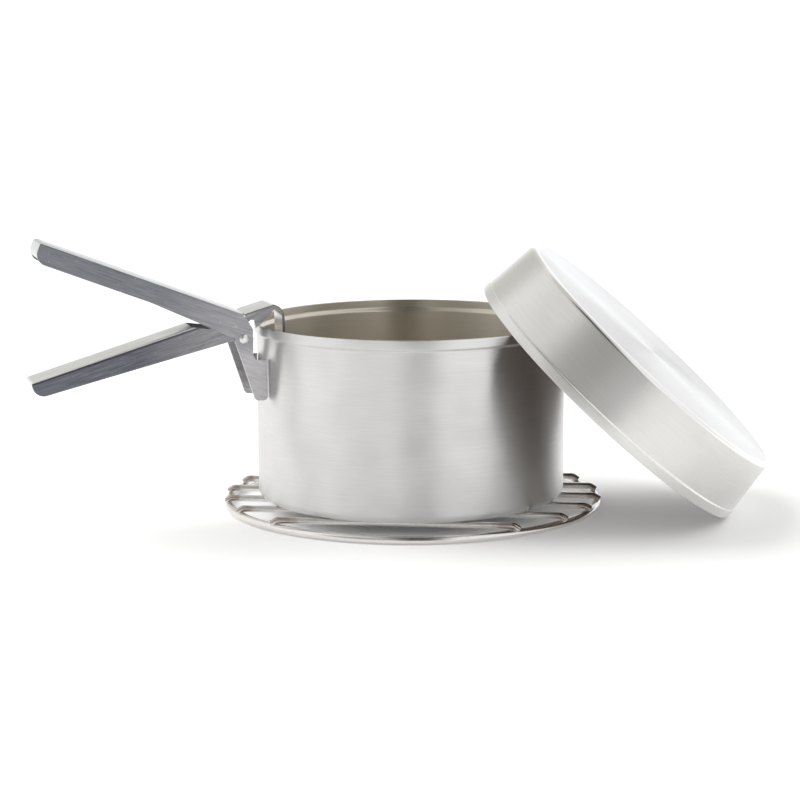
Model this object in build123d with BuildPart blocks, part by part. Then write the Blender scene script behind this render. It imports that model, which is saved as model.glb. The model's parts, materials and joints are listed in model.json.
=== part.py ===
from build123d import *

import os
from math import cos, radians, sin, sqrt

# Camping cook set in drawn and stamped stainless steel: a pot on a round wire grill, a deep lid
# that leans on the pot, and a two-lever gripper hooked over the pot's rim.
# Millimetres, +Z up. The origin is on the pot's axis, at the level that the set stands on.

# ---- Grill: one ring and parallel bars welded on top of it ----
RING_OVER = 15.4         # ring's centre line outside the pot's wall
RING_WIRE_R = 1.9
GRILL_X, GRILL_Y = 0.8, 8.3   # centre of the ring from the pot's axis
BAR_COUNT = 7
BAR_PITCH_SHARE = 0.26   # pitch of the bars, as a share of the ring's radius
BAR_WIRE_R = 1.5
BAR_SHIFT = -0.6         # middle bar's offset from the ring's centre
BAR_TOP = 6.8            # height of the bars' upper side
BAR_YAW = -6.8           # bars' direction from +X
BAR_BEND_RUN = 2.4       # length of each bent end, along the bar
BAR_BEND_R = 2.5
BAR_END_OUT = 1.2        # bar's end outside the ring's centre line
WELD_SINK = 1.2          # how far the two wires sink into each other at a weld

# ---- Pot ----
POT_R = 70.0             # outside of the wall
POT_HEIGHT = 80.5
POT_SHEET = 0.8
POT_CORNER_R = 3.6
RIM_STEP = 1.2           # the rim band stands out from the wall by this
RIM_BAND = 4.1           # height of the rim band
RIM_JOGGLE = 0.9         # height of the step from wall to band
REST_GAP = 0.2           # pot above the bars

# ---- Lid, also a shallow pan ----
LID_RIM_OVER = 5.6       # lid's rim outside the pot's wall
LID_RIM_STEP = 0.6
LID_BAND = 4.2
LID_TAPER = 3.5          # the wall, carried on to the flat top, is this much narrower than the rim
LID_DEPTH = 30.4
LID_SHEET = 0.8
LID_CORNER_R = 3.0
LID_TILT = 42.5          # axis from the vertical
LID_AZIMUTH = -5.9       # direction it leans away from the pot, from +X
LID_GAP = 0.6            # clearance from the pot's rim where it leans

# ---- Gripper: both levers are channels with the web on top ----
GRIP_AZIMUTH = 196.7     # direction from the pot's axis, from +X
GRIP_WIDTH = 22.0        # outside of the upper lever
SHEET = 1.2
NEST_GAP = 0.3           # between the side plates of the two levers
PIVOT_OUT = 10.1         # pivot outside the pot's wall
PIVOT_DROP = 4.4         # pivot below the rim's top
BOSS_R = 4.2             # upper lever's rounded plate round the rivet
LOWER_BOSS_R = 3.8
BEND_R = 1.7             # outside of the bend from web to side plate

UPPER_ANGLE = 21.3
UPPER_LENGTH = 98.9
UPPER_WEB = 10.7         # top of the web above the pivot line
UPPER_WEB_START = 3.6
UPPER_TIP_EDGE = 1.6     # side plate's lower edge above the pivot line
UPPER_FLARE_START, UPPER_FLARE_END = 45.0, 20.0

LOWER_ANGLE = -16.5
LOWER_LENGTH = 94.6
LOWER_WEB = 12.0
LOWER_WEB_START = 20.0
LOWER_SHOULDER_RUN = 6.0     # slope from the web down to the rounded plate, along the handle
LOWER_SHOULDER_DROP = 2.7
LOWER_TIP_EDGE = 4.6
LOWER_ROOT_EDGE = 0.6    # lower edge above the pivot line, near the pivot
LOWER_ROOT_START = 5.0
LOWER_NECK = 5.8         # side plate's upper corner behind the pivot, out and up
HOOK_NECK = (0.2, 8.8)   # side plate's corner where the hook starts, out and up
TIP_CORNER_R = 5.0

JAW_GAP = 0.3            # jaws' inner edges from the pot's wall
JAW_DROP = 27.9          # jaws' lower end below the pivot
JAW_TOE = 5.6            # width of the jaws' lower end
JAW_CORNER_R = 2.0
JAW_ROOT = 3.9           # jaw's outer edge from the pivot, at the pivot's height
RELIEF_DROP = 9.7        # shoulder of the relief round the rim band, below the pivot
RELIEF_IN = 4.1          # relief's edge inside the pivot

HOOK_RISE = 16.0         # slope of the hook's web, up towards the pot
HOOK_WEB = 10.45         # hook web's top from the pivot
HOOK_START_GAP = 0.4     # hook's web from the upper lever's web at the open stop
HOOK_BEND_R = 6.0
HOOK_EDGE_R = 1.0        # outside of the bend from the hook's web to its cheeks
CHEEK_RUN, CHEEK_DROP = 0.8, 2.0   # cheeks' slope where the hook's web bends into the tongue
CHEEK_ABOVE_RIM = 2.6
CHEEK_IN = 0.1           # cheeks' front corner inside the rim band's outside
TONGUE_IN = 8.2          # tongue inside the pot's wall at the rim
TONGUE_DROP = 10.0       # tongue's tip below the rim's top
TONGUE_LEAN = 0.7        # tongue's tip further in than its top
TONGUE_WIDTH = 15.0
TOOTH_OUT = 3.1          # hook cheeks' tooth outside the rim band
TOOTH_ABOVE_RIM = 0.1
THROAT = (0.7, 3.7)      # top of the notch behind the tooth: out from the tooth, above the rim
THROAT_END = (-1.2, 3.9) # notch's far corner: out from the pivot, above the rim
CHEEK_ROOT = 3.5         # cheek's corner towards the pot, from the pivot

RIVET_R = 1.5
RIVET_HEAD_R = 2.2
RIVET_HEAD = 0.9
RIVET_RUNNING_GAP = 0.06
RIVET_SIDE_GAP = 0.15

# ---- Places worked out from the sizes above ----
RING_R = POT_R + RING_OVER
BAR_PITCH = RING_R * BAR_PITCH_SHARE
LID_RIM_R = POT_R + LID_RIM_OVER
LID_TOP_R = LID_RIM_R - LID_TAPER
BAR_Z = BAR_TOP - BAR_WIRE_R
BAR_END_Z = RING_WIRE_R + sqrt((RING_WIRE_R + BAR_WIRE_R - WELD_SINK) ** 2 - BAR_END_OUT**2)
POT_BASE = BAR_TOP + REST_GAP
POT_TOP = POT_BASE + POT_HEIGHT
RIM_R = POT_R + RIM_STEP

PIVOT_U = POT_R + PIVOT_OUT
PIVOT_Z = POT_TOP - PIVOT_DROP
OUTWARD = Vector(cos(radians(GRIP_AZIMUTH)), sin(radians(GRIP_AZIMUTH)), 0)
UP = Vector(0, 0, 1)
ACROSS = OUTWARD.cross(UP)
PIVOT = OUTWARD * PIVOT_U + UP * PIVOT_Z
UPPER_HALF = GRIP_WIDTH / 2
LOWER_HALF = UPPER_HALF - SHEET - NEST_GAP
BEYOND = 40.0            # cutting shapes run this far past what they cut

os.makedirs("parts", exist_ok=True)


def save(piece, label):
    piece.label = label
    export_step(piece, f"parts/{label}.step")


def nearest(sketch, point):
    """The sketch's corner nearest to a point of its own plane."""
    return sketch.vertices().sort_by_distance(point)[0]


# ---- Grill ----
def make_ring():
    with BuildPart(Plane((GRILL_X, GRILL_Y, RING_WIRE_R))) as ring:
        Torus(RING_R, RING_WIRE_R)
    return ring.part


def make_bar(offset):
    """A bar whose ends bend down to the ring, at an offset from the ring's centre."""
    half = sqrt((RING_R + BAR_END_OUT) ** 2 - offset**2)
    knee = half - BAR_BEND_RUN
    yaw = Plane((GRILL_X, GRILL_Y, 0)).rotated((0, 0, BAR_YAW))
    side = Plane(yaw.from_local_coords((0, offset, 0)), x_dir=yaw.x_dir, z_dir=-yaw.y_dir)
    with BuildPart() as bar:
        with BuildLine(side) as path:
            FilletPolyline(
                (-half, BAR_END_Z), (-knee, BAR_Z), (knee, BAR_Z), (half, BAR_END_Z),
                radius=BAR_BEND_R,
            )
        with BuildSketch(Plane(path.line @ 0, z_dir=path.line % 0)):
            Circle(BAR_WIRE_R)
        sweep()
    return bar.part


save(make_ring(), "grill_ring")
for number in range(BAR_COUNT):
    from_centre = (number - (BAR_COUNT - 1) / 2) * BAR_PITCH + BAR_SHIFT
    save(make_bar(from_centre), f"grill_bar_{number + 1}")


# ---- Pot ----
with BuildPart() as pot:
    with BuildSketch(Plane.XZ) as profile:
        joggle_low = POT_TOP - RIM_BAND - RIM_JOGGLE
        joggle_high = POT_TOP - RIM_BAND
        with BuildLine():
            Polyline(
                (0, POT_BASE), (POT_R, POT_BASE), (POT_R, joggle_low), (RIM_R, joggle_high),
                (RIM_R, POT_TOP), (RIM_R - POT_SHEET, POT_TOP), (RIM_R - POT_SHEET, joggle_high),
                (POT_R - POT_SHEET, joggle_low), (POT_R - POT_SHEET, POT_BASE + POT_SHEET),
                (0, POT_BASE + POT_SHEET), close=True,
            )
        make_face()
        fillet(nearest(profile, (POT_R, POT_BASE)), POT_CORNER_R)
        inner_corner = (POT_R - POT_SHEET, POT_BASE + POT_SHEET)
        fillet(nearest(profile, inner_corner), POT_CORNER_R - POT_SHEET)
    revolve(axis=Axis.Z)
save(pot.part, "pot")


# ---- Lid ----
def lid_place():
    """Rim-centre plane of the leaning lid, which stands on the ground and leans on the pot's rim.

    The pot's rim meets the lid's rim from inside, or first meets the lid's floor if the lid is flat.
    """
    tilt, azimuth = radians(LID_TILT), radians(LID_AZIMUTH)
    inner_r = LID_RIM_R - LID_SHEET
    up_slope = POT_TOP / sin(tilt) - LID_RIM_R
    half_chord = sqrt(inner_r**2 - up_slope**2)
    rim_lean = up_slope * cos(tilt) + sqrt((RIM_R + LID_GAP) ** 2 - half_chord**2)
    floor_depth = LID_DEPTH - LID_SHEET - LID_GAP
    rim_above_centre = POT_TOP - LID_RIM_R * sin(tilt)
    floor_lean = RIM_R - (floor_depth - rim_above_centre * cos(tilt)) / sin(tilt)
    lean = max(rim_lean, floor_lean)
    direction = Vector(cos(azimuth), sin(azimuth), 0)
    centre = direction * lean + UP * (LID_RIM_R * sin(tilt))
    return Plane(centre, x_dir=UP.cross(direction), z_dir=direction * sin(tilt) + UP * cos(tilt))


LID_PLANE = lid_place()
with BuildPart() as lid:
    lid_side = Plane(LID_PLANE.origin, x_dir=LID_PLANE.x_dir, z_dir=-LID_PLANE.y_dir)
    with BuildSketch(lid_side) as profile:
        wall_r = LID_RIM_R - LID_RIM_STEP
        with BuildLine():
            Polyline(
                (0, LID_DEPTH), (LID_TOP_R, LID_DEPTH), (wall_r, LID_BAND + LID_RIM_STEP),
                (LID_RIM_R, LID_BAND), (LID_RIM_R, 0), (LID_RIM_R - LID_SHEET, 0),
                (LID_RIM_R - LID_SHEET, LID_BAND), (wall_r - LID_SHEET, LID_BAND + LID_RIM_STEP),
                (LID_TOP_R - LID_SHEET, LID_DEPTH - LID_SHEET), (0, LID_DEPTH - LID_SHEET),
                close=True,
            )
        make_face()
        fillet(nearest(profile, (LID_TOP_R, LID_DEPTH)), LID_CORNER_R)
        inner_corner = (LID_TOP_R - LID_SHEET, LID_DEPTH - LID_SHEET)
        fillet(nearest(profile, inner_corner), LID_CORNER_R - LID_SHEET)
    revolve(axis=Axis(LID_PLANE.origin, LID_PLANE.z_dir))
save(lid.part, "lid")


# ---- Gripper ----
def lever_plane(angle):
    """Plane of the gripper's middle: x along a handle that leaves the pivot at an angle."""
    along = OUTWARD * cos(radians(angle)) + UP * sin(radians(angle))
    return Plane(PIVOT, x_dir=along, z_dir=ACROSS)


def upright(angle, along, above):
    """A point of a handle as (out, up) from the pivot."""
    a = radians(angle)
    return along * cos(a) - above * sin(a), along * sin(a) + above * cos(a)


def bend_edges(part, angle, above, across):
    """Edges that run along a web at a height above the pivot line and a distance across."""
    plane = lever_plane(angle)

    def lies_on_bend(edge):
        ends = [plane.to_local_coords(Vector(vertex)) for vertex in edge.vertices()]
        on_line = all(abs(p.Y - above) < 0.01 and abs(abs(p.Z) - across) < 0.01 for p in ends)
        return len(ends) == 2 and on_line

    return part.edges().filter_by(lies_on_bend)


def make_upper_lever():
    """Upper handle, with a closed tip, and the two jaws that stand against the pot's wall."""
    handle = lever_plane(UPPER_ANGLE)
    wall_u = sqrt(POT_R**2 - (UPPER_HALF - SHEET) ** 2) + JAW_GAP
    jaw_in = wall_u - PIVOT_U
    web_corner = upright(UPPER_ANGLE, UPPER_WEB_START, UPPER_WEB - SHEET)
    with BuildPart() as hollow:
        with BuildSketch(handle):
            with BuildLine():
                Polyline(
                    (-BEYOND, UPPER_WEB - SHEET), (UPPER_LENGTH - SHEET, UPPER_WEB - SHEET),
                    (UPPER_LENGTH - SHEET, -BEYOND), (-BEYOND, -BEYOND), close=True,
                )
            make_face()
        extrude(amount=UPPER_HALF - SHEET, both=True)
        inner_bends = bend_edges(hollow, UPPER_ANGLE, UPPER_WEB - SHEET, UPPER_HALF - SHEET)
        fillet(inner_bends, BEND_R - SHEET)
    with BuildPart() as lever:
        with BuildSketch(handle) as side:
            with BuildLine():
                Polyline(
                    (UPPER_WEB_START, UPPER_WEB), (UPPER_LENGTH, UPPER_WEB),
                    (UPPER_LENGTH, UPPER_TIP_EDGE), (UPPER_FLARE_START, UPPER_TIP_EDGE),
                    (UPPER_FLARE_END, 0), (UPPER_WEB_START, -SHEET), close=True,
                )
            make_face()
            fillet(nearest(side, (UPPER_LENGTH, UPPER_TIP_EDGE)), TIP_CORNER_R)
        extrude(amount=UPPER_HALF, both=True)
        fillet(bend_edges(lever, UPPER_ANGLE, UPPER_WEB, UPPER_HALF), BEND_R)
        with BuildSketch(lever_plane(0)) as jaw:
            with BuildLine():
                Polyline(
                    web_corner, (JAW_ROOT, 0), (JAW_ROOT, -SHEET),
                    (jaw_in + JAW_TOE, -JAW_DROP), (jaw_in, -JAW_DROP), (jaw_in, -RELIEF_DROP),
                    (-RELIEF_IN - SHEET, -RELIEF_DROP), (-RELIEF_IN, -RELIEF_DROP + 2 * SHEET),
                    (-RELIEF_IN, BOSS_R), (web_corner[0] - SHEET, web_corner[1] - SHEET),
                    close=True,
                )
            make_face()
            fillet(nearest(jaw, (jaw_in + JAW_TOE, -JAW_DROP)), JAW_CORNER_R)
            fillet(nearest(jaw, (jaw_in, -JAW_DROP)), JAW_CORNER_R)
            fillet(nearest(jaw, (-RELIEF_IN, BOSS_R)), JAW_CORNER_R)
            Circle(BOSS_R)
        extrude(amount=UPPER_HALF, both=True)
        add(hollow.part, mode=Mode.SUBTRACT)
        with BuildSketch(lever_plane(0)):
            Circle(RIVET_R)
        extrude(amount=GRIP_WIDTH, both=True, mode=Mode.SUBTRACT)
    return lever.part


def hook_point(along, above):
    """A point of the hook's web as (out, up) from the pivot, along it towards the pot."""
    a = radians(HOOK_RISE)
    return -along * cos(a) + above * sin(a), along * sin(a) + above * cos(a)


def make_lower_lever():
    """Lower handle, a window for the upper lever's web, and the hook over the pot's rim."""
    tongue_in = POT_R - POT_SHEET - TONGUE_IN - PIVOT_U
    rim_out = RIM_R - PIVOT_U
    tooth = rim_out + TOOTH_OUT
    stop = upright(UPPER_ANGLE, UPPER_WEB_START - HOOK_START_GAP, UPPER_WEB)
    hook_start = -stop[0] * cos(radians(HOOK_RISE)) + stop[1] * sin(radians(HOOK_RISE))
    start_low = hook_point(hook_start, HOOK_WEB - SHEET)
    to_tongue = (-tongue_in + HOOK_WEB * sin(radians(HOOK_RISE))) / cos(radians(HOOK_RISE))
    web_end = to_tongue - HOOK_BEND_R
    tip = upright(LOWER_ANGLE, LOWER_LENGTH, LOWER_TIP_EDGE)
    shoulder_start = LOWER_WEB_START - LOWER_SHOULDER_RUN
    shoulder = upright(LOWER_ANGLE, shoulder_start, LOWER_WEB - LOWER_SHOULDER_DROP)
    with BuildPart() as lever:
        with BuildSketch(lever_plane(0)) as side:
            with BuildLine():
                Polyline(
                    upright(LOWER_ANGLE, LOWER_LENGTH, LOWER_WEB),
                    upright(LOWER_ANGLE, LOWER_WEB_START, LOWER_WEB),
                    shoulder, (LOWER_NECK, LOWER_NECK), HOOK_NECK, start_low,
                    hook_point(hook_start, HOOK_WEB), hook_point(web_end, HOOK_WEB),
                    hook_point(web_end + CHEEK_RUN, HOOK_WEB - CHEEK_DROP),
                    (rim_out - CHEEK_IN, PIVOT_DROP + CHEEK_ABOVE_RIM),
                    (tooth, PIVOT_DROP + TOOTH_ABOVE_RIM), (tooth + THROAT[0], PIVOT_DROP + THROAT[1]),
                    (THROAT_END[0], PIVOT_DROP + THROAT_END[1]),
                    (-CHEEK_ROOT, BOSS_R), (-LOWER_BOSS_R, 0), (0, -LOWER_BOSS_R),
                    upright(LOWER_ANGLE, LOWER_ROOT_START, LOWER_ROOT_EDGE), tip, close=True,
                )
            make_face()
            fillet(nearest(side, tip), TIP_CORNER_R)
            Circle(LOWER_BOSS_R)
        extrude(amount=LOWER_HALF, both=True)
        fillet(bend_edges(lever, LOWER_ANGLE, LOWER_WEB, LOWER_HALF), BEND_R)
        fillet(bend_edges(lever, -HOOK_RISE, HOOK_WEB, LOWER_HALF), HOOK_EDGE_R)
        with BuildSketch(lever_plane(0)):
            with BuildLine():
                Polyline(
                    upright(LOWER_ANGLE, LOWER_LENGTH - SHEET, LOWER_WEB - SHEET),
                    upright(LOWER_ANGLE, LOWER_WEB_START, LOWER_WEB - SHEET),
                    upright(LOWER_ANGLE, LOWER_WEB_START, BEYOND), hook_point(hook_start, BEYOND),
                    start_low, hook_point(BEYOND, HOOK_WEB - SHEET), (-BEYOND, -BEYOND),
                    upright(LOWER_ANGLE, LOWER_LENGTH - SHEET, -BEYOND), close=True,
                )
            make_face()
        extrude(amount=LOWER_HALF - SHEET, both=True, mode=Mode.SUBTRACT)
        with BuildSketch(lever_plane(0)) as strip:
            corner_up = to_tongue * sin(radians(HOOK_RISE)) + HOOK_WEB * cos(radians(HOOK_RISE))
            tip_up = PIVOT_DROP - TONGUE_DROP
            with BuildLine():
                FilletPolyline(
                    hook_point(web_end - HOOK_BEND_R, HOOK_WEB), (tongue_in, corner_up),
                    (tongue_in - TONGUE_LEAN, tip_up), radius=HOOK_BEND_R,
                )
                offset(amount=SHEET, side=Side.LEFT)
            make_face()
        extrude(amount=TONGUE_WIDTH / 2, both=True)
        with BuildSketch(lever_plane(0)):
            Circle(RIVET_R + RIVET_RUNNING_GAP)
        extrude(amount=GRIP_WIDTH, both=True, mode=Mode.SUBTRACT)
    return lever.part


def make_rivet(side):
    """Rivet through one pair of side plates, with a domed head outside; side is 1 or -1."""
    inner = LOWER_HALF - SHEET - RIVET_SIDE_GAP
    section = Plane(PIVOT, x_dir=ACROSS * side, z_dir=UP)
    with BuildPart() as rivet:
        with BuildSketch(section):
            with BuildLine():
                Polyline(
                    (UPPER_HALF + RIVET_HEAD, 0), (inner - RIVET_HEAD, 0),
                    (inner - RIVET_HEAD, RIVET_HEAD_R), (inner, RIVET_HEAD_R), (inner, RIVET_R),
                    (UPPER_HALF, RIVET_R), (UPPER_HALF, RIVET_HEAD_R),
                )
                EllipticalCenterArc(
                    (UPPER_HALF, 0), RIVET_HEAD, RIVET_HEAD_R, start_angle=0, arc_size=90
                )
            make_face()
        revolve(axis=Axis(PIVOT, ACROSS))
    return rivet.part


save(make_upper_lever(), "upper_lever")
save(make_lower_lever(), "lower_lever")
save(make_rivet(-1), "near_rivet")
save(make_rivet(1), "far_rivet")
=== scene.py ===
import json
from math import cos, pi, radians, sin, tan

import bmesh
import bpy
from mathutils import Matrix, Vector, noise


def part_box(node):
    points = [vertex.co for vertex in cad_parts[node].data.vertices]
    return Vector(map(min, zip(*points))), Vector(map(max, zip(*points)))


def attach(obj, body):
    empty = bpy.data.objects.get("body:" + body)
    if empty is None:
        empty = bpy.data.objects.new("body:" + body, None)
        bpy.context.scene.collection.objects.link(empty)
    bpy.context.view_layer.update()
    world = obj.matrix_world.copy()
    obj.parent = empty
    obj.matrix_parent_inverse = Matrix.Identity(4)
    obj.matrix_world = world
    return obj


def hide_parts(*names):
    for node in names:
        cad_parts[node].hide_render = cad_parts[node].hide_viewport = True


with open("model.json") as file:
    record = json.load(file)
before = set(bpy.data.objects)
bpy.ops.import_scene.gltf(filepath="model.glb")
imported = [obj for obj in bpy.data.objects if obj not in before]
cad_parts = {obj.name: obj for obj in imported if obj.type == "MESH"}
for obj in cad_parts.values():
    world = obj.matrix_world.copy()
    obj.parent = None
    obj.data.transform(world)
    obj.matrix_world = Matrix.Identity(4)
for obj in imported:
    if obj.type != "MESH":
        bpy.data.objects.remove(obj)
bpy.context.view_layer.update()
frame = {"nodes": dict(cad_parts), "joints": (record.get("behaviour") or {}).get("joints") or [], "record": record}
mounts = {mount["name"]: mount for mount in frame["record"]["mounts"]}
joints = {joint["name"]: joint for joint in frame["joints"]}

MM = 0.001
UPRIGHT = Vector((0, 0, 1))
scene = bpy.context.scene
scene.view_settings.view_transform = "Standard"


# ---- Camera ----
def make_camera():
    data = bpy.data.cameras.new("camera")
    data.sensor_width = 36
    data.lens = 103.5
    data.clip_start = 0.01
    camera = bpy.data.objects.new("camera", data)
    right = Vector((0.9999851, 0.0041137, -0.0035847))
    up = Vector((0.0028468, 0.1671175, 0.9859329))
    forward = Vector((-0.0046549, 0.9859284, -0.1671033))
    turn = Matrix((right, up, -forward)).transposed().to_4x4()
    camera.matrix_world = Matrix.Translation((0, -1.04008, 0.22619)) @ turn
    scene.collection.objects.link(camera)
    scene.camera = camera


make_camera()


# ---- Mesh helpers ----
CORNER_STEPS = 6       # straight pieces in each rounded corner of a turned shell
SEGMENTS = 192         # faces round a turned shell
SHARP_ANGLE = 35       # degrees; edges that turn by more are shaded sharp


def rounded(points, radii):
    """An open line through points, with each inner corner rounded to its radius."""
    line = [Vector(points[0])]
    for before, corner, after, radius in zip(points, points[1:], points[2:], radii):
        corner = Vector(corner)
        back = (Vector(before) - corner).normalized()
        ahead = (Vector(after) - corner).normalized()
        half = back.angle(ahead) / 2
        middle = corner + (back + ahead).normalized() * (radius / sin(half))
        start = corner + back * (radius / tan(half)) - middle
        turn = pi - 2 * half
        if back.x * ahead.y > back.y * ahead.x:
            turn = -turn
        for step in range(CORNER_STEPS + 1):
            angle = turn * step / CORNER_STEPS
            line.append(middle + Vector((
                start.x * cos(angle) - start.y * sin(angle),
                start.x * sin(angle) + start.y * cos(angle),
            )))
    line.append(Vector(points[-1]))
    return line


def lathe(name, outside, inside, place=Matrix.Identity(4)):
    """A closed shell turned about Z from two lines of (radius, height), moved to its place.

    The outside runs from Z to the lip's inner corner, and the inside from the lip's outer corner
    to Z. Those two unrounded corners are left out, since the other line rounds them. Faces of the
    outside take the first material and those of the inside the second.
    """
    mesh = bmesh.new()
    rings = []
    for radius, height in outside[:-1] + inside[1:]:
        if radius < 1e-7:
            rings.append([mesh.verts.new((0, 0, height))])
            continue
        turn = [2 * pi * k / SEGMENTS for k in range(SEGMENTS)]
        rings.append([mesh.verts.new((radius * cos(a), radius * sin(a), height)) for a in turn])
    for index, (low, high) in enumerate(zip(rings, rings[1:])):
        for k in range(SEGMENTS):
            n = (k + 1) % SEGMENTS
            pairs = ((low, k), (low, n), (high, n), (high, k))
            corners = list(dict.fromkeys(ring[i % len(ring)] for ring, i in pairs))
            if len(corners) > 2:
                mesh.faces.new(corners).material_index = int(index >= len(outside))
    bmesh.ops.transform(mesh, matrix=place, verts=mesh.verts)
    bmesh.ops.recalc_face_normals(mesh, faces=mesh.faces)
    return finish_mesh(name, mesh)


def finish_mesh(name, mesh, sharp_angle=SHARP_ANGLE):
    data = bpy.data.meshes.new(name)
    mesh.to_mesh(data)
    mesh.free()
    data.shade_smooth()
    data.set_sharp_from_angle(angle=radians(sharp_angle))
    piece = bpy.data.objects.new(name, data)
    scene.collection.objects.link(piece)
    return piece


# ---- Material helpers ----
NOISE_SPAN = (0.36, 0.64)    # noise values that are stretched to the full contrast
BRUSH_LINES = 5200.0         # noise scale across turned brushing, per metre
SHEET_LINES = 1700.0         # the same across the scratches on stamped sheet


class Tree:
    """The nodes of a material or a world, with short ways to add maths."""

    def __init__(self, owner):
        owner.use_nodes = True
        self.owner = owner
        self.nodes = owner.node_tree.nodes
        self.links = owner.node_tree.links
        self.shader = self.nodes.get("Principled BSDF") or self.nodes["Background"]

    def add(self, kind, inputs=(), output=0, **settings):
        node = self.nodes.new("ShaderNode" + kind)
        for key, value in settings.items():
            setattr(node, key, value)
        for key, value in dict(inputs).items():
            if isinstance(value, bpy.types.NodeSocket):
                self.links.new(value, node.inputs[key])
            else:
                node.inputs[key].default_value = value
        return node.outputs[output]

    def math(self, operation, a, b=0.0):
        return self.add("Math", {0: a, 1: b}, operation=operation)

    def vector(self, operation, a, b):
        inputs = {0: a, 1: b if isinstance(b, bpy.types.NodeSocket) else tuple(b)}
        return self.add("VectorMath", inputs, operation=operation)

    def scaled(self, vector, scale):
        return self.add("VectorMath", {0: vector, "Scale": scale}, operation="SCALE")

    def dot(self, vector, direction):
        inputs = {0: vector, 1: tuple(direction)}
        return self.add("VectorMath", inputs, output="Value", operation="DOT_PRODUCT")

    def length(self, vector):
        return self.add("VectorMath", {0: vector}, output="Value", operation="LENGTH")

    def noise(self, vector, scale, detail=3.0, roughness=0.55):
        inputs = {"Vector": vector, "Scale": scale, "Detail": detail, "Roughness": roughness}
        return self.add("TexNoise", inputs)

    def map(self, value, low, high, to_low, to_high, smooth=False):
        inputs = {
            "Value": value, "From Min": low, "From Max": high, "To Min": to_low, "To Max": to_high,
        }
        kind = "SMOOTHSTEP" if smooth else "LINEAR"
        return self.add("MapRange", inputs, interpolation_type=kind)

    def mix(self, factor, a, b):
        return self.add("Mix", {"Factor": factor, 6: a, 7: b}, output=2, data_type="RGBA")

    def combine(self, x, y, z):
        return self.add("CombineXYZ", {0: x, 1: y, 2: z})

    def to(self, **sockets):
        """Sets or links the shader's sockets."""
        for key, value in sockets.items():
            socket = self.shader.inputs[key.replace("_", " ")]
            if isinstance(value, bpy.types.NodeSocket):
                self.links.new(value, socket)
            else:
                socket.default_value = value


def material_tree(name):
    return Tree(bpy.data.materials.new(name))


def shade(value):
    return (*value, 1.0)


def steel(tree, grain, place, dark, light, rough, bump, soil=0.25):
    """Sets brushed steel's roughness and bump, and gives its colour.

    grain is a coordinate stretched along the brushing, place the plain one. rough is the roughness
    of the light and the dark scratches.
    """
    fine = tree.noise(grain, 1.0, 5.0, 0.75)
    cloud = tree.noise(place, 38.0, 3.0, 0.5)
    colour = tree.mix(tree.map(fine, *NOISE_SPAN, 0.0, 1.0), shade(dark), shade(light))
    smudge = tree.map(cloud, 0.42, 0.68, 0.0, soil, smooth=True)
    colour = tree.mix(smudge, colour, shade(dark))
    spread = tree.map(fine, *NOISE_SPAN, rough[1], rough[0])
    spread = tree.math("ADD", spread, tree.math("MULTIPLY", smudge, 0.18))
    normal = tree.add("Bump", {"Strength": bump, "Distance": 0.03 * MM, "Height": fine})
    tree.to(Metallic=1.0, Roughness=spread, Normal=normal)
    return colour


def turned_steel(name, centre, axis, dark, light, rough, anisotropy=0.72):
    """Steel brushed round an axis, on its walls and its flat faces alike."""
    tree = material_tree(name)
    place = tree.add("TexCoord", output="Object")
    local = tree.vector("ADD", place, -Vector(centre))
    height = tree.dot(local, axis)
    radial = tree.vector("SUBTRACT", local, tree.scaled(tuple(axis), height))
    radius = tree.length(radial)
    unit = tree.add("VectorMath", {0: radial}, operation="NORMALIZE")
    slope = tree.math("MULTIPLY", tree.math("ADD", height, radius), BRUSH_LINES)
    grain = tree.vector("ADD", tree.scaled(unit, 4.0), tree.combine(slope, slope, slope))
    colour = steel(tree, grain, place, dark, light, rough, bump=0.16)
    tangent = tree.vector("CROSS_PRODUCT", tuple(axis), unit)
    tree.to(
        Base_Color=colour, Anisotropic=anisotropy, Anisotropic_Rotation=0.25, Tangent=tangent
    )
    return tree.owner


def sheet_steel(name, run_way, tip, root, rough, jaw=None):
    """Stamped sheet, scratched along run_way from the pivot, with painted shade darkening it towards the tip.

    tip, root and jaw are (dark, light) colours at the far end of the handle, at the pivot and
    on the jaw below it. The tip's darker colours are painted shade towards the handle's end.
    """
    tree = material_tree(name)
    place = tree.add("TexCoord", output="Object")
    local = tree.vector("ADD", place, -pivot)
    run = tree.dot(local, run_way)
    grain = tree.combine(
        tree.math("MULTIPLY", run, 90.0),
        tree.math("MULTIPLY", tree.dot(local, across), SHEET_LINES),
        tree.math("MULTIPLY", tree.dot(local, run_way.cross(across)), SHEET_LINES),
    )
    near = steel(tree, grain, place, *root, rough, bump=0.3, soil=0.45)
    streak = tree.map(tree.noise(grain, 0.8, 4.0, 0.7), *NOISE_SPAN, 0.0, 1.0)
    far = tree.mix(streak, shade(tip[0]), shade(tip[1]))
    if jaw:
        below = tree.map(tree.dot(local, UPRIGHT), -2 * MM, -9 * MM, 0.0, 1.0, smooth=True)
        near = tree.mix(below, near, tree.mix(streak, shade(jaw[0]), shade(jaw[1])))
    # Painted shade: the colour darkens from the pivot's colours to the tip's along the handle.
    tip_painted_shade = tree.map(run, 4 * MM, 52 * MM, 0.0, 1.0, smooth=True)
    scuff = tree.map(tree.noise(place, 480.0, 5.0, 0.7), 0.61, 0.73, 0.0, 0.5, smooth=True)
    bright = shade([min(1.0, c * 1.6) for c in root[1]])
    tree.to(Base_Color=tree.mix(scuff, tree.mix(tip_painted_shade, near, far), bright), Anisotropic=0.35)
    return tree.owner


# ---- Pot: drawn steel, turned about Z ----
SHEET = 0.8 * MM
LIP_R = 0.35 * MM        # the sheet's cut edge, eased
POT_CORNER_R = 3.6 * MM
RIM_STEP = 1.2 * MM      # the rim band stands out from the wall by this
RIM_BAND = 4.1 * MM
RIM_JOGGLE = 0.9 * MM    # height of the step from the wall to the band


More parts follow.
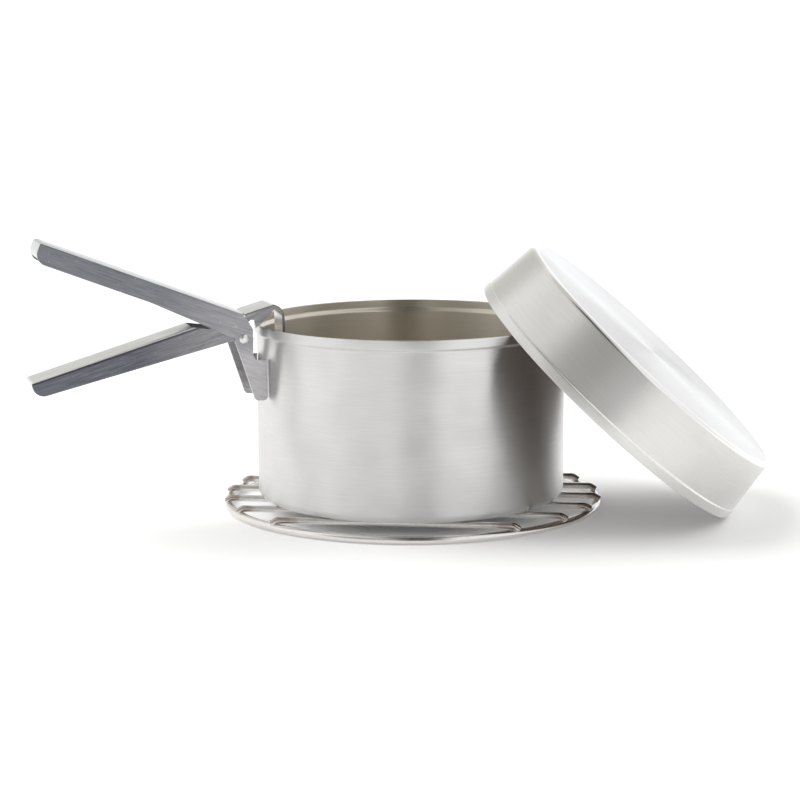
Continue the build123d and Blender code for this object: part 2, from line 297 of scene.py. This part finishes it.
def make_pot():
    low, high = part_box("pot")
    base, top, rim = low.z, high.z, high.x
    wall = rim - RIM_STEP
    band = top - RIM_BAND
    joggle = band - RIM_JOGGLE
    points = [
        (0, base), (wall, base), (wall, joggle), (rim, band), (rim, top),
        (rim - SHEET, top), (rim - SHEET, band), (wall - SHEET, joggle),
        (wall - SHEET, base + SHEET), (0, base + SHEET),
    ]
    soft_outside, soft_inside = 0.8 * MM, 1.6 * MM
    outside = rounded(points[:6], [POT_CORNER_R, soft_outside, soft_outside, LIP_R])
    inside = rounded(points[4:], [LIP_R, soft_inside, soft_inside, POT_CORNER_R - SHEET])
    piece = lathe("pot_shell", outside, inside)
    piece.data.materials.append(turned_steel(
        "pot_outside", (0, 0, 0), UPRIGHT,
        dark=(0.72, 0.712, 0.707), light=(0.81, 0.803, 0.797), rough=(0.35, 0.41),
        anisotropy=0.92,
    ))
    # Painted shade: the inside takes a darker, warmer copy of the pot steel.
    piece.data.materials.append(turned_steel(
        "pot_inside_painted_shade", (0, 0, 0), UPRIGHT,
        dark=(0.60, 0.557, 0.48), light=(0.71, 0.662, 0.575), rough=(0.30, 0.40),
    ))
    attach(piece, "pot")
    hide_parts("pot")


make_pot()

# ---- Lid: the same steel, turned about its own leaning axis ----
LID_R = 75.6 * MM
LID_STEP = 0.6 * MM
LID_BAND = 4.2 * MM
LID_TOP_R = 72.1 * MM
LID_DEPTH = 30.4 * MM
LID_CORNER_R = 3.0 * MM
LID_SOFT_R = 0.5 * MM


def make_lid():
    axis = Vector(joints["lid_lift"]["axis"]).normalized()
    centre = Vector(mounts["lid_top"]["pos_m"]) - axis * LID_DEPTH
    wall = LID_R - LID_STEP
    step = LID_BAND + LID_STEP
    points = [
        (0, LID_DEPTH), (LID_TOP_R, LID_DEPTH), (wall, step), (LID_R, LID_BAND), (LID_R, 0),
        (LID_R - SHEET, 0), (LID_R - SHEET, LID_BAND), (wall - SHEET, step),
        (LID_TOP_R - SHEET, LID_DEPTH - SHEET), (0, LID_DEPTH - SHEET),
    ]
    outside = rounded(points[:6], [LID_CORNER_R, LID_SOFT_R, LID_SOFT_R, LIP_R])
    inside = rounded(points[4:], [LIP_R, LID_SOFT_R, LID_SOFT_R, LID_CORNER_R - SHEET])
    sideways = UPRIGHT.cross(axis).normalized()
    turn = Matrix((sideways, axis.cross(sideways), axis)).transposed().to_4x4()
    piece = lathe("lid_shell", outside, inside, Matrix.Translation(centre) @ turn)
    # Corner faces take a brighter, smoother copy of the lid steel: the brighter colour is a painted highlight, the
    # lower roughness makes it shinier.
    for face in piece.data.polygons:
        if face.material_index == 0 and 0.3 < face.normal.dot(axis) < 0.97:
            face.material_index = 2
    piece.data.materials.append(turned_steel(
        "lid_outside", centre, axis,
        dark=(0.70, 0.695, 0.68), light=(0.785, 0.78, 0.765), rough=(0.31, 0.38),
        anisotropy=0.88,
    ))
    # Painted shade: the inside takes a dark brown copy of the lid steel.
    piece.data.materials.append(turned_steel(
        "lid_inside_painted_shade", centre, axis,
        dark=(0.20, 0.165, 0.14), light=(0.30, 0.25, 0.215), rough=(0.28, 0.38),
    ))
    piece.data.materials.append(turned_steel(
        "lid_corner_painted_highlight", centre, axis,
        dark=(0.80, 0.795, 0.78), light=(0.92, 0.915, 0.90), rough=(0.14, 0.20),
    ))
    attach(piece, "lid")
    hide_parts("lid")


make_lid()

# ---- Gripper: the CAD sheet metal with its edges eased ----
pivot = Vector(joints["gripper_close"]["pos_m"])
across = Vector(joints["gripper_close"]["axis"]).normalized()
outward = UPRIGHT.cross(across).normalized()
if outward.x > 0:
    outward = -outward

EASED_EDGE = 0.22 * MM
RUBBED = ((0.62, 0.62, 0.63), (0.86, 0.86, 0.87))    # dark and light colours of worn edges


def handle_way(angle):
    """Direction from the pivot, outwards from the pot and up by an angle in degrees."""
    return outward * cos(radians(angle)) + UPRIGHT * sin(radians(angle))


def eased_copy(node, name):
    """A copy of a CAD node with bevelled edges, which take the third material."""
    mesh = bmesh.new()
    mesh.from_mesh(frame["nodes"][node].data)
    bmesh.ops.remove_doubles(mesh, verts=mesh.verts, dist=0.002 * MM)
    bmesh.ops.dissolve_limit(mesh, angle_limit=radians(0.5), verts=mesh.verts, edges=mesh.edges)
    piece = finish_mesh(name, mesh)
    bevel = piece.modifiers.new("eased", "BEVEL")
    bevel.width = EASED_EDGE
    bevel.segments = 2
    bevel.limit_method = "ANGLE"
    bevel.angle_limit = radians(40)
    bevel.use_clamp_overlap = True
    bevel.harden_normals = True
    bevel.material = 2
    return piece


def make_lever(node, name, body, angle, tip, root, web, jaw=None):
    """A lever with one material on its side plates (darkened, painted shade), one on its webs (lightened, painted
    light) and one on its edges.
    """
    piece = eased_copy(node, name)
    for face in piece.data.polygons:
        # Faces turned sideways take the side material with painted shade, the rest the web material with painted
        # light.
        face.material_index = int(abs(face.normal.dot(across)) < 0.8)
    way = handle_way(angle)
    for part, far, near, rough, low in (
        ("_side", tip, root, (0.30, 0.42), jaw),
        ("_web", web, web, (0.26, 0.38), None),
        ("_edge", RUBBED, RUBBED, (0.24, 0.34), None),
    ):
        piece.data.materials.append(sheet_steel(name + part, way, far, near, rough, low))
    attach(piece, body)
    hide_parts(node)


# Side colours (tip, root) are painted shade and web colours painted light; the sheet is one steel throughout.
make_lever(
    "upper_lever", "upper_lever_sheet", "gripper", 21.3,
    tip=((0.17, 0.175, 0.195), (0.25, 0.255, 0.28)),
    root=((0.27, 0.27, 0.29), (0.38, 0.38, 0.40)),
    web=((0.66, 0.66, 0.67), (0.80, 0.80, 0.81)),
    jaw=((0.38, 0.372, 0.385), (0.52, 0.512, 0.525)),
)
# Painted shade: the lower lever's side colours are darker copies of the upper lever's.
make_lever(
    "lower_lever", "lower_lever_sheet", "lower_lever", -16.5,
    tip=((0.10, 0.104, 0.125), (0.185, 0.19, 0.215)),
    root=((0.21, 0.207, 0.22), (0.335, 0.33, 0.345)),
    web=((0.77, 0.77, 0.775), (0.92, 0.92, 0.925)),
)

# ---- Grill and rivets: the CAD nodes with new materials, and weld beads on the grill ----
ring_low, ring_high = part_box("grill_ring")
ring_middle = (ring_low + ring_high) / 2
ring_reach = (ring_high.x - ring_low.x) / 2
HEAT_STAIN = (0.42, 0.36, 0.31)
BEAD_R = 1.55 * MM
BEAD_LUMPS = 0.16 * MM       # depth of a bead's unevenness


def wire_steel():
    """Drawn wire, stained by heat on the bars' raised ends, near the welds."""
    tree = material_tree("wire_steel")
    place = tree.add("TexCoord", output="Object")
    grain = tree.vector("MULTIPLY", place, (260.0, 2600.0, 2600.0))
    colour = steel(
        tree, grain, place, (0.74, 0.715, 0.695), (0.86, 0.835, 0.815), (0.16, 0.25),
        bump=0.05, soil=0.12,
    )
    radius = tree.length(tree.vector("ADD", place, -ring_middle))
    speckle = tree.math("MULTIPLY", tree.noise(place, 260.0, 3.0, 0.6), 6 * MM)
    radius = tree.math("ADD", radius, speckle)
    start, full = ring_reach - 4.5 * MM, ring_reach - 1.5 * MM
    outer = tree.map(radius, start, full, 0.0, 1.0, smooth=True)
    raised = tree.map(tree.dot(place, UPRIGHT), 3.4 * MM, 5.2 * MM, 0.0, 0.8, smooth=True)
    stain = tree.math("MULTIPLY", outer, raised)
    tree.to(Base_Color=tree.mix(stain, colour, shade(HEAT_STAIN)))
    return tree.owner


def rivet_steel():
    """Steel turned about the rivets' axis."""
    tree = material_tree("rivet_steel_turned")
    place = tree.add("TexCoord", output="Object")
    local = tree.vector("ADD", place, -pivot)
    radius = tree.length(tree.vector("CROSS_PRODUCT", local, across))
    grain = tree.combine(
        tree.math("MULTIPLY", radius, BRUSH_LINES), tree.dot(local, outward), 0.3
    )
    colour = steel(
        tree, grain, place, (0.66, 0.65, 0.64), (0.86, 0.85, 0.84), (0.24, 0.36), bump=0.3
    )
    tree.to(Base_Color=colour)
    return tree.owner


def weld_beads():
    """A small uneven bead of weld under each end of each bar, where it meets the ring."""
    mesh = bmesh.new()
    for node in sorted(name for name in frame["nodes"] if name.startswith("grill_bar")):
        points = [vertex.co for vertex in frame["nodes"][node].data.vertices]
        for sign in (-1, 1):
            tip = max(points, key=lambda p: sign * p.x)
            end = [p for p in points if (p - tip).length < 3.2 * MM]
            centre = sum(end, Vector()) / len(end)
            inward = ring_middle - centre
            inward.z = 0
            centre = centre + inward.normalized() * 0.5 * MM
            centre.z -= 0.9 * MM
            bead = bmesh.ops.create_icosphere(mesh, subdivisions=3, radius=BEAD_R)["verts"]
            for vertex in bead:
                direction = vertex.co.normalized()
                lump = BEAD_LUMPS * noise.noise(direction * 2.3 + centre * 400)
                vertex.co = centre + vertex.co * 0.92 + direction * lump
    return finish_mesh("weld_beads", mesh, sharp_angle=80)


def finish_node(node, material):
    data = frame["nodes"][node].data
    for index in range(len(data.materials)):
        data.materials[index] = material


wire = wire_steel()
rivet = rivet_steel()
for node in frame["nodes"]:
    if node.startswith("grill"):
        finish_node(node, wire)
    if node.endswith("rivet"):
        finish_node(node, rivet)
beads = weld_beads()
beads.data.materials.append(wire)
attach(beads, "grill")


# ---- Studio ----
FLOOR_HALF = 4.0


def make_floor():
    """White paper with an even faint glow, dimmed close under the pot as a painted shadow."""
    mesh = bmesh.new()
    signs = ((-1, -1), (1, -1), (1, 1), (-1, 1))
    mesh.faces.new([mesh.verts.new((x * FLOOR_HALF, y * FLOOR_HALF, 0)) for x, y in signs])
    floor = finish_mesh("floor", mesh)
    tree = material_tree("floor_paper")
    place = tree.add("TexCoord", output="Object")
    tone = tree.map(tree.noise(place, 900.0, 2.0), 0.3, 0.7, 0.0, 1.0)
    # Painted shadow: the glow drops from 0.19 to 0.03 close under the pot.
    glow_with_painted_shadow = tree.map(tree.length(place), 48 * MM, 76 * MM, 0.03, 0.19, smooth=True)
    tree.to(
        Base_Color=tree.mix(tone, shade((0.90, 0.90, 0.90)), shade((0.92, 0.92, 0.92))),
        Roughness=0.9, Specular_IOR_Level=0.1,
        Emission_Color=shade((1, 1, 1)), Emission_Strength=glow_with_painted_shadow,
    )
    floor.data.materials.append(tree.owner)


def make_world():
    """A white studio, brighter behind the object, with dim areas in front and a dim ceiling."""
    scene.world = bpy.data.worlds.new("studio")
    tree = Tree(scene.world)
    direction = tree.add("TexCoord", output="Generated")

    def around(azimuth, height, outside, inside):
        """1 near a direction, falling to 0 between the two angles from it, in degrees."""
        a, h = radians(azimuth), radians(height)
        way = (cos(a) * cos(h), sin(a) * cos(h), sin(h))
        off = tree.math("ARCCOSINE", tree.dot(direction, way))
        return tree.map(off, radians(outside), radians(inside), 0.0, 1.0, smooth=True)

    roof = tree.map(tree.dot(direction, UPRIGHT), 0.74, 0.94, 0.0, 1.0, smooth=True)

    # An upright dim strip in front of the pot, which its wall shows as a soft dark band
    front = tree.math("GREATER_THAN", tree.dot(direction, (0.0, -1.0, 0.0)), 0.0)
    strip_side = (cos(radians(5)), sin(radians(5)), 0.0)
    aside = tree.math("ABSOLUTE", tree.dot(direction, strip_side))
    strip = tree.map(aside, sin(radians(19)), sin(radians(7)), 0.0, 1.0, smooth=True)
    strip = tree.math("MULTIPLY", strip, front)

    colour = tree.mix(around(70, 2, 60, 20), shade((1.0, 1.0, 1.0)), shade((1.22, 1.24, 1.27)))
    for area, tone in (
        (around(172, 34, 62, 24), (1.07, 1.07, 1.05)),
        (around(108, 30, 34, 12), (0.68, 0.67, 0.63)),
        (roof, (0.62, 0.61, 0.58)),
        (around(-120, 26, 34, 14), (0.41, 0.41, 0.39)),
        (strip, (0.07, 0.068, 0.064)),
    ):
        colour = tree.mix(area, colour, shade(tone))
    tree.to(Color=colour)


def make_key_light():
    """Broad soft light from the upper left, which gives the shadows their direction."""
    data = bpy.data.lights.new("key_light", "SUN")
    data.energy = 1.4
    data.angle = radians(42)
    lamp = bpy.data.objects.new("key_light", data)
    lamp.rotation_euler = Vector((-0.62, 0.22, 0.75)).to_track_quat("Z", "Y").to_euler()
    lamp.visible_glossy = False
    scene.collection.objects.link(lamp)


make_floor()
make_world()
make_key_light()
